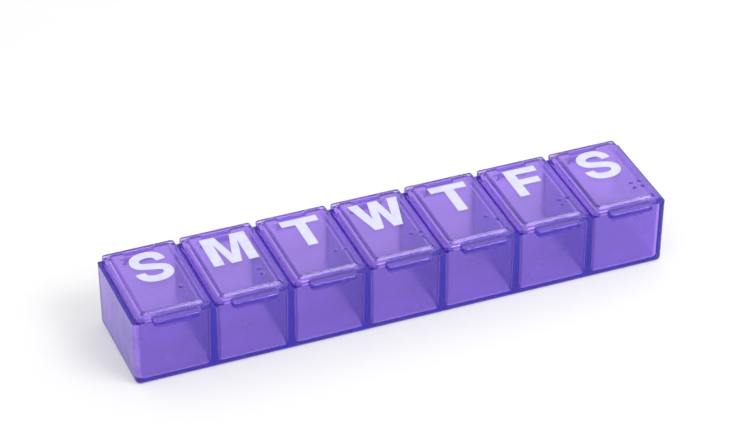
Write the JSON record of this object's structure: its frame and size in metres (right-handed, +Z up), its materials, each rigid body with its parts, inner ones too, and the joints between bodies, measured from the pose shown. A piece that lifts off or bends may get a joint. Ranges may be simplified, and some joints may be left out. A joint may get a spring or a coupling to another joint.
{
  "type": "weekly pill organizer",
  "caption": "Clear plastic weekly pill organizer: one tray of compartments in a row, each under its own hinged snap lid with a thumb tab, a printed initial and a Braille number.",
  "frame": {"origin": "centre of the flat face that the tray rests on", "axes": "+X along the row from the first day to the last, +Y from the thumb tabs to the hinges, +Z up through the lids"},
  "size_m": [0.1552, 0.0351, 0.0228],
  "materials": {
    "tray_plastic": "clear tinted polystyrene, glossy",
    "lid_plastic": "clear tinted plastic, glossy",
    "white_print": "opaque white hot-stamped ink"
  },
  "bodies": {
    "tray": {"tray": "tray_plastic"},
    "sunday_cover": {"sunday_lid": "lid_plastic", "sunday_initial": "white_print"},
    "monday_cover": {"monday_lid": "lid_plastic", "monday_initial": "white_print"},
    "tuesday_cover": {"tuesday_lid": "lid_plastic", "tuesday_initial": "white_print"},
    "wednesday_cover": {"wednesday_lid": "lid_plastic", "wednesday_initial": "white_print"},
    "thursday_cover": {"thursday_lid": "lid_plastic", "thursday_initial": "white_print"},
    "friday_cover": {"friday_lid": "lid_plastic", "friday_initial": "white_print"},
    "saturday_cover": {"saturday_lid": "lid_plastic", "saturday_initial": "white_print"}
  },
  "joints": [
    {"name": "sunday_hinge", "type": "hinge", "parent": "tray", "child": "sunday_cover", "pos_m": [-0.066, 0.0149, 0.01865], "axis": [-1, 0, 0], "range_deg": [0, 100]},
    {"name": "monday_hinge", "type": "hinge", "parent": "tray", "child": "monday_cover", "pos_m": [-0.044, 0.0149, 0.01865], "axis": [-1, 0, 0], "range_deg": [0, 100]},
    {"name": "tuesday_hinge", "type": "hinge", "parent": "tray", "child": "tuesday_cover", "pos_m": [-0.022, 0.0149, 0.01865], "axis": [-1, 0, 0], "range_deg": [0, 100]},
    {"name": "wednesday_hinge", "type": "hinge", "parent": "tray", "child": "wednesday_cover", "pos_m": [0, 0.0149, 0.01865], "axis": [-1, 0, 0], "range_deg": [0, 100]},
    {"name": "thursday_hinge", "type": "hinge", "parent": "tray", "child": "thursday_cover", "pos_m": [0.022, 0.0149, 0.01865], "axis": [-1, 0, 0], "range_deg": [0, 100]},
    {"name": "friday_hinge", "type": "hinge", "parent": "tray", "child": "friday_cover", "pos_m": [0.044, 0.0149, 0.01865], "axis": [-1, 0, 0], "range_deg": [0, 100]},
    {"name": "saturday_hinge", "type": "hinge", "parent": "tray", "child": "saturday_cover", "pos_m": [0.066, 0.0149, 0.01865], "axis": [-1, 0, 0], "range_deg": [0, 100]}
  ]
}
